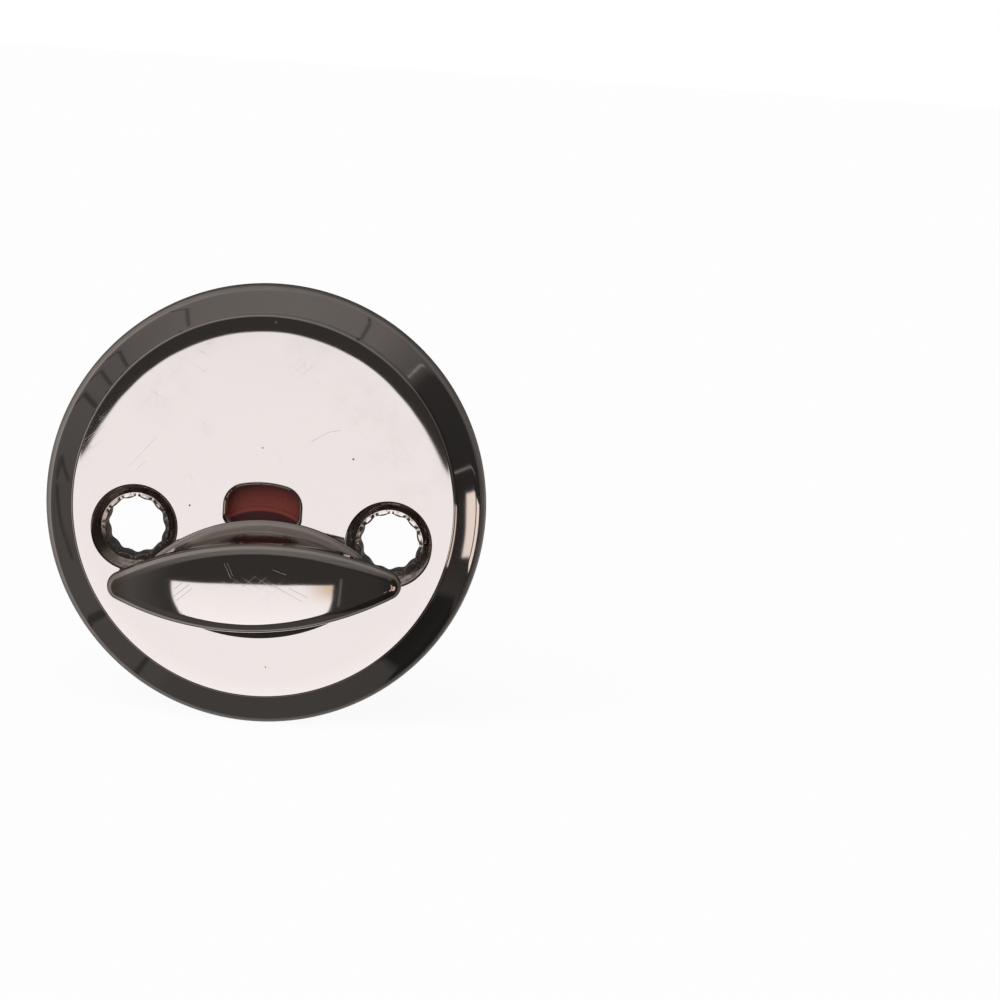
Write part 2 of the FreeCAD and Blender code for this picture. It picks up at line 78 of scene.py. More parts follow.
MM = 0.001
ROSE_LOW, ROSE_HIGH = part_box("rose")
TURN_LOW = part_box("thumb_turn")[0]

# Meshing
INSIDE_LOOPS = 1  # choice of delaunay_2d_cdt that keeps the faces inside the loops
LOOP_TOLERANCE = 1e-6  # millimetres
SAME_POINT, SAME_PLANE = 1e-7, 1e-6  # metres
SHARP_ANGLE = math.radians(32)
RIM_STEPS, BOSS_STEPS, BUSH_STEPS, LUG_STEPS = 512, 160, 96, 48
STEPS_PER_NOTCH = 20


# Settings


def length(name, description, millimetres):
    return bpy.props.FloatProperty(
        name=name, description=description, default=millimetres * MM, min=0.0,
        unit="LENGTH", subtype="DISTANCE", precision=5)


def angle(name, description, degrees):
    return bpy.props.FloatProperty(
        name=name, description=description, default=math.radians(degrees),
        unit="ROTATION", subtype="ANGLE")


def section(name, description, *millimetres):
    """Section of the grip: height, half length, half width and tip radius."""
    return bpy.props.FloatVectorProperty(
        name=name, description=description, default=[value * MM for value in millimetres], size=4,
        unit="LENGTH", precision=5)


def colour(name, description, default):
    return bpy.props.FloatVectorProperty(
        name=name, description=description, default=default, size=3, min=0.0, max=1.0,
        subtype="COLOR")


class RoseSizes(bpy.types.PropertyGroup):
    """Plate with its holes and window."""
    radius: length("Radius", "Outline of the rose", (ROSE_HIGH.x - ROSE_LOW.x) / 2 / MM)
    rise: length("Rise", "Centre of the rose above the turning axis", (ROSE_HIGH.z + ROSE_LOW.z) / 2 / MM)
    height: length("Height", "Door face to polished face", -ROSE_LOW.y / MM)
    side_height: length("Side height", "Straight side above the door face", 1.5)
    lip_width: length("Lip width", "Rounded lip, measured inwards", 1.05)
    lip_height: length("Lip height", "Height where the lip meets the band", 3.0)
    band_width: length("Band width", "Sloping band from the outline to the step", 3.15)
    band_sag: length("Band sag", "Hollow of the sloping band", 0.012)
    step_height: length("Step height", "Height where the band meets the step", 3.76)
    step_run: length("Step run", "Lean of the step", 0.2)
    edge_radius: length("Edge radius", "Rounding of the face's edge", 0.3)
    roll_width: length("Roll width", "Ring of the face that buffing has rounded off", 1.75)
    roll_sag: length("Roll sag", "How far that ring falls away", 0.075)
    rim_width: length("Rim width", "Flat rim on the back", 3.0)
    break_radius: length("Break", "Broken edges on the back", 0.12)
    cavity_depth: length("Cavity depth", "Hollow in the back", 2.6)
    room_radius: length("Room radius", "Pocket for the disc, round the turning axis", 11.5)
    bush_radius: length("Bush radius", "Bore for the bush", 5.45)
    screw_spacing: length("Screw spacing", "Distance between the screw holes", 30.0)
    screw_rise: length("Screw rise", "Screw holes above the turning axis", 5.1)
    bore_radius: length("Bore radius", "Clear bore of a screw hole", 3.35)
    sink_radius: length("Countersink radius", "Countersink at the face", 5.05)
    sink_edge: length("Countersink edge", "Rounding where the countersink meets the face", 0.35)
    boss_radius: length("Boss radius", "Boss round the bore, on the back", 6.4)
    notch_depth: length("Notch depth", "Notch in the bore's wall", 0.2)
    notch_width: length("Notch width", "Notch at the bore's wall", 0.8)
    ledge_width: length("Ledge width", "Bright ledge where the countersink meets the bore", 0.65)
    ledge_fall: length("Ledge fall", "Fall of the ledge towards the bore", 0.08)
    ledge_edge: length("Ledge edge", "Rounding from the ledge into the bore", 0.22)
    notch_count: bpy.props.IntProperty(
        name="Notches", description="Notches round each bore", default=12, min=1)
    window_width: length("Window width", "Width of the window at the face", 9.5)
    window_height: length("Window height", "Height of the window in its middle, at the face", 5.3)
    window_rise: length("Window rise", "Middle of the window above the centre of the rose", 0.4)
    window_top: length("Window top", "Radius of the arched upper edge", 11.5)
    window_sill: length("Window sill", "Radius of the lower edge, bowed upwards", 18.0)
    window_shoulder: length("Window shoulder", "Rounding of the upper corners", 2.7)
    window_foot: length("Window foot", "Rounding of the lower corners", 1.5)
    window_edge: length("Window edge", "Rounding where the window meets the face", 0.5)
    lug_radius: length("Lug radius", "Stop lug on the back", 1.2)
    lug_reach: length("Lug reach", "Turning axis to the stop lug", 9.6)
    lug_end: length("Lug end", "Free end of the lug above the door face", 0.9)
    lug_bearing: angle("Lug bearing", "Direction of the lug from 3 o'clock", 315.0)


class TurnSizes(bpy.types.PropertyGroup):
    """Boat-shaped grip and its hub."""
    rest_turn: angle("Rest turn", "Turn away from the locked stop at rest", 4.0)
    foot: section("Foot", "Section on the rose", 5.35, 13.3, 7.0, 3.9)
    waist: section("Waist", "Narrowest section under the wings", 8.0, 12.4, 5.1, 2.4)
    wing: section("Wing", "Section at the underside of the wings", 10.6, 17.2, 5.2, 1.7)
    top: length("Top", "Door face to the top of the grip", -TURN_LOW.y / MM)
    crown_length: length("Crown along", "Crown of the grip along the wings", 55.0)
    crown_width: length("Crown across", "Crown of the grip across the wings", 34.0)
    crown_drop: length("Crown drop", "Crest of the crown below the middle of the wings", 0.38)
    edge_radius: length("Edge radius", "Rounding of the grip's front edge", 1.45)
    hem: length("Hem", "Narrow row that keeps the side's shading apart from the flank's", 0.05)
    socket_reach: length("Socket reach", "Radius round the turning axis that holds the spindle's socket", 4.4)


class Finishes(bpy.types.PropertyGroup):
    """Colours of the pieces."""
    nickel: colour("Nickel", "Polished plate and turn", (0.800, 0.735, 0.722))
    tarnish: colour("Tarnish", "Grey film in the corners and the smudges", (0.46, 0.42, 0.40))
    # Painted shade: the dark line round the window and holes, and the grip's dark underside and waist line
    painted_shade: colour("Grime", "Dark line of old polish round the holes", (0.05, 0.042, 0.038))
    # Brown streaks on the flank and dirt in the countersinks, with painted shade on the grip's tips and the
    # left hole's far left side
    brown_tone_and_shade: colour("Handled", "Brown streaks under the wings and in the holes", (0.34, 0.25, 0.18))
    speck: colour("Speck", "Specks of rust and dried polish", (0.16, 0.08, 0.05))
    occupied: colour("Occupied", "Red field of the disc", (0.114, 0.0225, 0.0165))
    # Painted shade: near-black colour laid over the washer below the window, with some grease
    grease: colour("Grease", "Dark film on the washer", (0.020, 0.008, 0.008))
    vacant: colour("Vacant", "White field of the disc", (0.72, 0.70, 0.66))
    nylon: colour("Nylon", "Bearing bush", (0.66, 0.65, 0.60))
    spring_steel: colour("Spring steel", "Spring and ring", (0.30, 0.29, 0.29))
    bar_steel: colour("Bar steel", "Spindle and pin", (0.56, 0.55, 0.53))


class StageSizes(bpy.types.PropertyGroup):
    """Camera and surroundings."""
    distance: length("Distance", "Camera to the rose", 600.0)
    frame_width: length("Frame width", "Width of the view at the rose", 118.0)
    aim_right: length("Aim right", "Middle of the view to the right of the rose", 27.66)
    aim_up: length("Aim up", "Middle of the view above the centre of the rose", 0.45)
    azimuth: angle("Azimuth", "Camera to the right of the rose", 2.4)
    elevation: angle("Elevation", "Camera above the rose", 7.0)
    roll: angle("Roll", "Roll of the camera", 3.65)
    floor_gap: length("Floor gap", "Floor below the rose", 0.05)
    floor_reach: length("Floor reach", "Half width of the floor", 2000.0)
    paper: colour("Paper", "Floor", (0.90, 0.90, 0.90))
    softness: angle("Softness", "Spread of the soft light", 60.0)
    light: bpy.props.FloatProperty(
        name="Light", description="Level of the soft light", default=4.2, min=0.0)
    light_from: bpy.props.FloatVectorProperty(
        name="Light from", description="Direction of the soft light, seen from the rose",
        default=(-0.2, -1.0, 0.6), size=3)


# Surfaces


def arc(centre, radius, start, end, count):
    """Points on a circle: centre + radius (cos a, sin a), with a from start to end in degrees."""
    angles = np.radians(np.linspace(start, end, count))
    return np.stack([centre[0] + radius * np.cos(angles), centre[1] + radius * np.sin(angles)], axis=-1)


def circle(centre, radius, count):
    return arc(centre, radius, 0.0, 360.0, count + 1)[:-1]


def lifted(flat, height):
    """Points (x, z) at a height out of the door: (x, -height, z)."""
    x, z, h = np.broadcast_arrays(flat[..., 0], flat[..., 1], -np.asarray(height))
    return np.stack([x, h, z], axis=-1)


def revolved(profile, centre, count, extra=0.0):
    """Profile of (radius, height) carried round an axis: (cx + r cos a, -height, cz + r sin a)."""
    angles = np.linspace(0.0, 2 * math.pi, count, endpoint=False)
    radius = profile[:, :1] + extra
    flat = np.stack([centre[0] + radius * np.cos(angles), centre[1] + radius * np.sin(angles)], axis=-1)
    return lifted(flat, profile[:, 1:])


def carried(loop, profile):
    """Profile of (inset, height) carried round a loop: loop + inset times its inward normal."""
    ahead = np.roll(loop, -1, axis=0) - np.roll(loop, 1, axis=0)
    ahead /= np.linalg.norm(ahead, axis=1, keepdims=True)
    inward = np.stack([-ahead[:, 1], ahead[:, 0]], axis=-1)
    return lifted(loop + profile[:, None, :1] * inward, profile[:, 1:])


class Shell:
    """One mesh put together from surfaces that share their border points."""

    def __init__(self):
        self.points, self.faces, self.smooth = [], [], []
        self.count = 0

    def add(self, points, faces, smooth):
        self.points.append(points.reshape(-1, 3))
        self.faces += (faces + self.count).tolist()
        self.smooth += [smooth] * len(faces)
        self.count += points.size // 3

    def grid(self, points):
        """Grid of rows and columns, closed along the columns."""
        index = np.arange(points.shape[0] * points.shape[1]).reshape(points.shape[:2])
        right = np.roll(index, -1, axis=1)
        quads = np.stack([index[:-1], right[:-1], right[1:], index[1:]], axis=-1)
        self.add(points, quads.reshape(-1, 4), True)

    def flat(self, height, outer, *holes):
        """Flat face inside the outer loop and outside the holes, all of them counter-clockwise."""
        loops = [outer, *holes]
        ends = np.cumsum([len(loop) for loop in loops])
        rings = [list(range(end - len(loop), end)) for loop, end in zip(loops, ends)]
        corners = [Vector(corner) for corner in (np.concatenate(loops) / MM).tolist()]
        found = delaunay_2d_cdt(corners, [], rings, INSIDE_LOOPS, LOOP_TOLERANCE)
        kept = [face for face, sources in zip(found[2], found[5]) if len(sources) == 1]
        self.add(lifted(np.array(found[0]) * MM, height), np.array(kept), False)

    def cad(self, node, keep, level):
        """Triangles of a CAD node whose corners all pass the test, without those in the plane y = level.

        Returns the border that the missing plane leaves: its points (x, z) in the order of their bearing.
        """
        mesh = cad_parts[node].data
        points = np.empty(len(mesh.vertices) * 3)
        mesh.vertices.foreach_get("co", points)
        corners = np.empty(len(mesh.loops), dtype=int)
        mesh.loops.foreach_get("vertex_index", corners)
        points, corners = points.reshape(-1, 3), corners.reshape(-1, 3)
        in_plane = np.abs(points[:, 1] - level) < SAME_PLANE
        kept = corners[keep(points)[corners].all(axis=1) & ~in_plane[corners].all(axis=1)]
        self.add(points, kept, True)
        border = points[np.unique(kept[in_plane[kept]])][:, ::2]
        border = border[np.unique(np.round(border / SAME_POINT), axis=0, return_index=True)[1]]
        return border[np.argsort(np.arctan2(border[:, 1], border[:, 0]))]

    def build(self, name, body, replaced):
        """Mesh object with merged borders and outward faces, in place of a CAD node."""
        mesh = bpy.data.meshes.new(name)
        mesh.from_pydata(np.concatenate(self.points).tolist(), [], self.faces)
        mesh.polygons.foreach_set("use_smooth", self.smooth)
        work = bmesh.new()
        work.from_mesh(mesh)
        bmesh.ops.remove_doubles(work, verts=work.verts, dist=SAME_POINT)
        loose = [vert for vert in work.verts if not vert.link_faces]
        bmesh.ops.delete(work, geom=loose, context="VERTS")
        bmesh.ops.recalc_face_normals(work, faces=work.faces)
        smooth = [face.smooth for face in work.faces]
        work.to_mesh(mesh)
        work.free()
        mesh.set_sharp_from_angle(angle=SHARP_ANGLE)
        mesh.polygons.foreach_set("use_smooth", smooth)
        piece = bpy.data.objects.new(name, mesh)
        bpy.context.scene.collection.objects.link(piece)
        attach(piece, body)
        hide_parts(replaced)
        return piece


# Shader maths


class Term:
    """A socket that takes part in Python arithmetic; each operation adds a Math node."""

    def __init__(self, board, socket):
        self.board, self.socket = board, socket

    def maths(self, operation, *others):
        terms = dict(enumerate((self, *others)))
        return self.board.add("ShaderNodeMath", {"operation": operation}, terms)

    def swapped(self, operation, other):
        return self.board.add("ShaderNodeMath", {"operation": operation}, {0: other, 1: self})

    def __add__(self, other):
        return self.maths("ADD", other)

    __radd__ = __add__

    def __sub__(self, other):
        return self.maths("SUBTRACT", other)

    def __rsub__(self, other):
        return self.swapped("SUBTRACT", other)

    def __mul__(self, other):
        return self.maths("MULTIPLY", other)

    __rmul__ = __mul__

    def __truediv__(self, other):
        return self.maths("DIVIDE", other)

    def __rtruediv__(self, other):
        return self.swapped("DIVIDE", other)

    def __pow__(self, other):
        return self.maths("POWER", other)

    def __abs__(self):
        return self.maths("ABSOLUTE")

    def highest(self, other):
        return self.maths("MAXIMUM", other)

    def lowest(self, other):
        return self.maths("MINIMUM", other)

    def rise(self, low, high):
        """0 below low, 1 above high, smooth between; falls where low is above high."""
        if low > high:
            return 1 - self.rise(high, low)
        return self.board.add(
            "ShaderNodeMapRange", {"interpolation_type": "SMOOTHSTEP"},
            {"Value": self, "From Min": low, "From Max": high})


class Board:
    """Node tree of a material or of the world."""

    def __init__(self, owner):
        owner.use_nodes = True
        self.tree = owner.node_tree
        self.tree.nodes.clear()

    def add(self, kind, settings=None, sockets=None, out=0):
        """Adds a node, applies its settings, then fills its sockets; returns one output as a Term."""
        node = self.tree.nodes.new(kind)
        for name, value in (settings or {}).items():
            if name == "stops":
                self.set_stops(node.color_ramp, value)
            else:
                setattr(node, name, value)
        for key, value in (sockets or {}).items():
            if isinstance(value, Term):
                self.tree.links.new(value.socket, node.inputs[key])
            else:
                node.inputs[key].default_value = value
        return Term(self, node.outputs[out]) if len(node.outputs) else None

    @staticmethod
    def set_stops(ramp, stops):
        """Grey stops of a ramp, as (place, tone)."""
        while len(ramp.elements) < len(stops):
            ramp.elements.new(1.0)
        for element, (place, tone) in zip(ramp.elements, stops):
            element.position = place
            element.color = (tone, tone, tone, 1.0)

    def split(self, vector):
        return [self.add("ShaderNodeSeparateXYZ", None, {0: vector}, axis) for axis in range(3)]

    def blend(self, factor, first, second):
        """Colour from first to second."""
        return self.add("ShaderNodeMix", {"data_type": "RGBA"}, {0: factor, 6: first, 7: second}, 2)

    def stretched(self, place, rotation, scale):
        """Pattern space turned first, and then divided by scale along its own axes."""
        return self.add("ShaderNodeMapping", {"vector_type": "TEXTURE"},
                        {"Vector": place, "Rotation": rotation, "Scale": scale})

    def noise(self, place, scale, detail=2.0, roughness=0.5):
        return self.add("ShaderNodeTexNoise", None,
                        {"Vector": place, "Scale": scale, "Detail": detail, "Roughness": roughness})

    def millimetres(self):
        """The piece's own coordinates in millimetres."""
        place = self.add("ShaderNodeTexCoord", None, None, "Object")
        return self.add("ShaderNodeVectorMath", {"operation": "SCALE"}, {0: place, "Scale": 1 / MM})

    def surface(self, shader):
        self.add("ShaderNodeOutputMaterial", None, {"Surface": shader})

    def principled(self, sockets):
        self.surface(self.add("ShaderNodeBsdfPrincipled", None, sockets))

    def relief(self, height, distance):
        """Normal tilted by a height pattern."""
        return self.add("ShaderNodeBump", None, {"Height": height, "Distance": distance}, "Normal")


def rgba(tone, share=1.0):
    """Opaque colour, darkened to a share of the tone."""
    return (*(share * part for part in tone), 1.0)


def new_material(name):
    material = bpy.data.materials.new(name)
    return material, Board(material)


HAIRLINE_LENGTH = 34.0  # in spacings


def hairlines(board, place, bearing, spacing, width):
    """Long fine lines, where a noise stretched along one direction crosses its middle value."""
    along = board.stretched(place, (0.0, bearing, 0.0), (HAIRLINE_LENGTH * spacing, spacing, spacing))
    return abs(board.noise(along, 1.0, 1.0) - 0.5).rise(width, width * 0.2)


def stroke(x, z, start, end, width):
    """One straight mark: 1 on the segment from start to end, fading out over its half width."""
    run = (end[0] - start[0], end[1] - start[1])
    square = run[0] ** 2 + run[1] ** 2
    far = ((x - start[0]) * run[0] + (z - start[1]) * run[1]) / square
    far = far.highest(0.0).lowest(1.0)
    aside = (x - start[0] - far * run[0]) ** 2 + (z - start[1] - far * run[1]) ** 2
    return aside.rise(width ** 2, 0.0)


def patch(x, z, centre, radius):
    """Soft round spot, fading from its centre to its radius."""
    return ((x - centre[0]) ** 2 + (z - centre[1]) ** 2).rise(radius ** 2, 0.0)


def total(terms):
    terms = list(terms)
    summed = terms[0]
    for term in terms[1:]:
        summed = summed + term
    return summed


# Scratches (from, to, half width), smudges, speckled spots and single specks (centre, radius) on the
# plate and the grip, in millimetres right of and above the turning axis
SCRATCHES = (
    ((-16.0, 12.3), (-13.0, 15.9), 0.05), ((-15.1, 12.0), (-14.0, 13.1), 0.05),
    ((5.2, 16.6), (7.2, 17.9), 0.04), ((7.2, 17.9), (8.6, 18.2), 0.04),
    ((-3.3, 2.9), (-2.4, 1.2), 0.035), ((-2.9, 2.9), (-2.2, 1.5), 0.03), ((2.4, 2.5), (4.0, 2.0), 0.03),
    ((-9.0, -1.5), (-7.2, 0.1), 0.03), ((-8.6, -1.9), (-6.9, -0.4), 0.025),
    ((-8.9, -0.6), (-8.1, 0.2), 0.025), ((2.6, 0.7), (6.0, -1.0), 0.025), ((4.4, 0.5), (6.6, -0.5), 0.025),
)
SMUDGES = (
    ((18.5, 12.2), 4.5), ((14.5, 18.5), 6.5), ((11.0, 21.5), 5.0), ((4.5, 27.5), 3.6), ((-12.5, 22.0), 5.5),
)
SPECKLED = (
    ((3.5, 27.5), 3.0), ((3.0, 24.5), 2.2), ((-16.0, 9.6), 2.2), ((17.5, 10.8), 2.6), ((-9.0, 10.0), 2.5),
)
SPECKS = (
    ((-8.6, 8.15), 0.16), ((10.3, 14.9), 0.17), ((-0.4, 15.5), 0.12), ((1.4, -10.4), 0.12),
    ((0.3, 30.3), 0.2),
)
# Where the grip is rubbed most (centre, radius), and the painted shade line along its waist (from, to as x
# and y, half width)
RUBBED = ((0.5, 1.5), 5.5)
WAIST_SHADE_LINE = ((-4.0, -8.1), (4.0, -7.9), 1.1)


def polished_nickel(finishes):
    """Buffed nickel plate: slow waves, hairlines, a grey film in smudges, specks and a few marks."""
    rose, turn = bpy.context.scene.thumb_turn_rose, bpy.context.scene.thumb_turn_grip
    face, hollow, wing = rose.height / MM, rose.cavity_depth / MM, turn.wing[0] / MM
    sink, middle = rose.sink_radius / MM, (0.0, rose.rise / MM)
    material, board = new_material("polished_nickel")
    place = board.millimetres()
    x, y, z = board.split(place)
    height = 0.0 - y
    # Wear of the polish
    waves = board.noise(place, 0.16, 1.0)
    fine = total(hairlines(board, place, bearing, 0.9, 0.012) for bearing in (0.5, 1.35, 2.4))
    lines = fine * (board.noise(place, 0.22, 2.0).rise(0.5, 0.72) + patch(x, z, *RUBBED))
    marks = total(stroke(x, z, *scratch) for scratch in SCRATCHES)
    cloud = board.noise(place, 0.35, 3.0, 0.6)
    smudged = total(patch(x, z, *smudge) for smudge in SMUDGES) * cloud.rise(0.35, 0.75)
    dust = board.noise(place, 3.4, 2.0, 0.7).rise(0.60, 0.70)
    dusty = total(patch(x, z, *spot) for spot in SPECKLED).lowest(1.0) * dust
    spots = total(patch(x, z, *speck) for speck in SPECKS).lowest(1.0)
    film = (lines * 0.14 + marks * 0.35 + dusty * 0.4).lowest(1.0)
    # Grip: brown streaky flank, painted shade on its underside and along its waist, brown tips with painted
    # shade over their reflection
    grip = height.rise(face + 0.3, face + 0.6)
    flank = grip * height.rise(wing + 0.8, wing - 0.2)
    # Painted shade: darker lower side of the flank and a dark line along its waist
    under = flank * z.rise(-3.4, -4.6)
    waist = flank * stroke(x, y, *WAIST_SHADE_LINE) * z.rise(3.0, 3.5)
    # Painted shade: brown over the tips that damps the cream reflection there
    tips = grip * abs(x).rise(14.2, 16.4)
    lengthwise = board.stretched(place, (0.0, 0.07, 0.0), (16.0, 0.4, 16.0))
    streaks = board.noise(lengthwise, 1.0, 3.0).rise(0.4, 0.62)
    # Rose: painted shade as a dark line on the rounded edges of window and holes, countersinks soiled and
    # with painted shade on the left hole's far left side, dull casting towards the door
    # Painted shade: a dark line on the rounded edges just below the face
    edge = height.rise(face - 0.11, face - 0.06) * height.rise(face - 0.001, face - 0.005)
    edge = edge * patch(x, z, middle, 30.0).rise(0.52, 0.56)
    cast = height.rise(hollow + 0.2, hollow + 0.05)
    hole = ((abs(x) - rose.screw_spacing / 2 / MM) ** 2 + (z - rose.screw_rise / MM) ** 2) ** 0.5
    # Painted shade: the left hole's far left side made darker, on top of mottled dirt
    painted_left_shade = ((-15.8 - x) * 0.4).highest(0.0)
    mottled_and_left_shade = board.noise(place, 1.5, 3.0, 0.6).rise(0.44, 0.58) + painted_left_shade
    rings = (hole * 15.0).maths("SINE") * 0.3
    soiled = (mottled_and_left_shade + rings).lowest(1.0).highest(0.0)
    soiled = soiled * hole.rise(sink - 0.05, sink - 0.15)
    soiled = soiled * height.rise(face - 0.02, face - 0.1) * height.rise(0.05, 0.15)
    tone = rgba(finishes.nickel)
    for amount, over in (
            (film * 0.5 + smudged * 0.1 + cast * (cloud * 0.8), finishes.tarnish),
            (flank * streaks * 0.6 + soiled * 0.6 + tips * 0.55, finishes.brown_tone_and_shade),
            (edge * 0.7 + under * 0.6 + waist * 0.45, finishes.painted_shade),
            (spots * 0.8, finishes.speck)):
        tone = board.blend(amount, tone, rgba(over))
    rough = (0.045 + film * 0.1 + spots * 0.3 + marks * grip * 0.3 + flank * 0.09
             + soiled * 0.12 + cast * 0.33 + waist * 0.14)
    board.principled({
        "Base Color": tone, "Metallic": 1.0, "Roughness": rough,
        "Normal": board.relief(waves * 0.5 + lines * -0.010 + marks * -0.02, 3.0e-5)})
    return material


# Disc: half angle of the red field in degrees, and radius inside which the washer gets painted shade, in
# millimetres
RED_HALF_ANGLE, WASHER_SHADE_RADIUS = 48.0, 7.7


def indicator_plastic(finishes):
    """Moulded disc and its washer: a red field round 12 o'clock on white, and painted shade with some grease
    over the washer.
    """
    material, board = new_material("indicator_plastic")
    place = board.millimetres()
    x, _, z = board.split(place)
    bearing = x.maths("ARCTAN2", z)
    # Painted shade: the washer is blended almost to black
    washer = ((x ** 2 + z ** 2) ** 0.5).rise(WASHER_SHADE_RADIUS + 0.2, WASHER_SHADE_RADIUS)
    grain = board.noise(place, 3.2, 3.0, 0.6)
    red = abs(bearing).rise(math.radians(RED_HALF_ANGLE + 1.0), math.radians(RED_HALF_ANGLE))
    worn = board.blend(grain.rise(0.35, 0.8) * 0.35, rgba(finishes.occupied), rgba(finishes.occupied, 0.6))
    soiled = board.blend(grain.rise(0.5, 0.9) * 0.4, rgba(finishes.vacant), rgba(finishes.tarnish))
    board.principled({
        "Base Color": board.blend(washer * 0.92, board.blend(red, soiled, worn), rgba(finishes.grease)),
        "Roughness": 0.40 + grain * 0.2, "Specular IOR Level": 0.25,
        "Normal": board.relief(grain, 2.0e-5)})
    return material


def moulded_nylon(finishes):
    """Off-white nylon with faint flow marks and a greasy bloom."""
    material, board = new_material("bush_nylon")
    place = board.millimetres()
    flow = board.noise(board.stretched(place, (0.0, 0.0, 0.0), (1.0, 0.25, 1.0)), 0.9, 3.0)
    tone = board.blend(flow.rise(0.4, 0.8) * 0.5, rgba(finishes.nylon), rgba(finishes.nylon, 0.7))
    board.principled({
        "Base Color": tone, "Roughness": 0.42 + flow * 0.2, "Normal": board.relief(flow, 2.0e-5)})
    return material


def tempered_steel(finishes):
    """Dark spring steel with rolling lines and a film of old grease."""
    material, board = new_material("spring_steel")
    place = board.millimetres()
    rolled = board.noise(board.stretched(place, (0.0, 0.4, 0.0), (6.0, 1.0, 0.12)), 1.0, 3.0)
    grease = board.noise(place, 0.5, 3.0).rise(0.45, 0.7)
    tone = board.blend(rolled * 0.6, rgba(finishes.spring_steel), rgba(finishes.spring_steel, 0.55))
    tone = board.blend(grease * 0.4, tone, rgba(finishes.speck))
    board.principled({
        "Base Color": tone, "Metallic": 1.0, "Roughness": 0.30 + rolled * 0.12 + grease * 0.15,
        "Normal": board.relief(rolled, 1.5e-5)})
    return material


def drawn_steel(finishes):
    """Bright drawn bar: fine lines along its length, dull patches and a few dark spots."""
    material, board = new_material("plain_steel")
    place = board.millimetres()
    drawn = board.noise(board.stretched(place, (0.0, 0.0, 0.0), (0.14, 9.0, 0.14)), 1.0, 2.0)
    dull = board.noise(place, 0.35, 3.0).rise(0.45, 0.75)
    tone = board.blend(drawn * 0.5, rgba(finishes.bar_steel), rgba(finishes.bar_steel, 0.7))
    tone = board.blend(dull * 0.35, tone, rgba(finishes.tarnish))
    board.principled({
        "Base Color": tone, "Metallic": 1.0, "Roughness": 0.24 + drawn * 0.1 + dull * 0.2,
        "Normal": board.relief(drawn, 2.0e-5)})
    return material


FINISH_MAKERS = {
    "polished_nickel": polished_nickel, "indicator_plastic": indicator_plastic, "bush_nylon": moulded_nylon,
    "spring_steel": tempered_steel, "plain_steel": drawn_steel,
}


def finish_piece(piece, slot):
    """Gives a piece the finish of its slot, made on first use."""
    material = bpy.data.materials.get("finish_" + slot)
    if material is None:
        material = FINISH_MAKERS[slot](bpy.context.scene.thumb_turn_finishes)
        material.name = "finish_" + slot
    piece.data.materials.clear()
    piece.data.materials.append(material)


# Rose


def rim_profile(s):
    """(radius, height) from the hollow's floor over the back rim, side, lip, band and step to the face."""
    back, lip = s.break_radius, s.lip_width
    inner = s.radius - s.rim_width
    lip_rise = s.lip_height - s.side_height
    lip_radius = (lip ** 2 + lip_rise ** 2) / (2 * lip)
    lip_end = math.degrees(math.atan2(lip_rise, lip_radius - lip))
    band_end = s.radius - s.band_width
    face_radius = band_end - s.step_run
    edge_height = s.height - s.roll_sag
    roll_start = face_radius - s.edge_radius
    roll_radius = (s.roll_width ** 2 + s.roll_sag ** 2) / (2 * s.roll_sag)
    roll_angle = math.degrees(math.asin(s.roll_width / roll_radius))
    along = np.linspace(0.0, 1.0, 15)[1:-1]
    band_rise = (s.step_height - s.lip_height) * along - 4 * s.band_sag * along * (1 - along)
    band = np.stack([
        s.radius - lip + (band_end - s.radius + lip) * along, s.lip_height + band_rise], axis=-1)
    return np.concatenate([
        [(inner, s.cavity_depth)],
        arc((inner + back, back), back, 180.0, 270.0, 5),
        arc((s.radius - back, back), back, 270.0, 360.0, 5),
        arc((s.radius - lip_radius, s.side_height), lip_radius, 0.0, lip_end, 20),
        band,
        [(band_end, s.step_height)],
        arc((roll_start, edge_height - s.edge_radius), s.edge_radius, 0.0, 90.0 - roll_angle, 12),
        arc((roll_start - s.roll_width, s.height - roll_radius), roll_radius, 90.0 - roll_angle, 90.0, 16),
    ])


def window_loop(s):
    """Arched top and bowed sill with rounded corners, each arc tangent to the next."""
    half, middle = s.window_width / 2, s.rise + s.window_rise
    top = middle + s.window_height / 2 - s.window_top
    sill = middle - s.window_height / 2 - s.window_sill
    shoulder = (half - s.window_shoulder, top + math.sqrt(
        (s.window_top - s.window_shoulder) ** 2 - (half - s.window_shoulder) ** 2))
    foot = (half - s.window_foot, sill + math.sqrt(
        (s.window_sill + s.window_foot) ** 2 - (half - s.window_foot) ** 2))
    lean = math.degrees(math.atan2(shoulder[1] - top, shoulder[0]))
    bow = math.degrees(math.atan2(foot[1] - sill, foot[0]))
    right = np.concatenate([
        arc(foot, s.window_foot, bow - 180.0, 0.0, 16),
        arc(shoulder, s.window_shoulder, 0.0, lean, 16),
        arc((0.0, top), s.window_top, lean, 90.0, 20)[1:],
    ])
    left = right[::-1] * (-1.0, 1.0)
    bottom = arc((0.0, sill), s.window_sill, 180.0 - bow, bow, 30)[1:-1]
    return np.concatenate([right, left[1:], bottom])


def notch_pattern(s, count):
    """Depth of the notched wall round a bore: rounded notches, evenly spaced."""
    steps = np.arange(count) * s.notch_count / count
    away = np.abs(steps - np.round(steps)) * 2 * math.pi * s.bore_radius / s.notch_count
    return s.notch_depth * np.cos(np.minimum(away / s.notch_width, 1.0) * math.pi / 2) ** 2


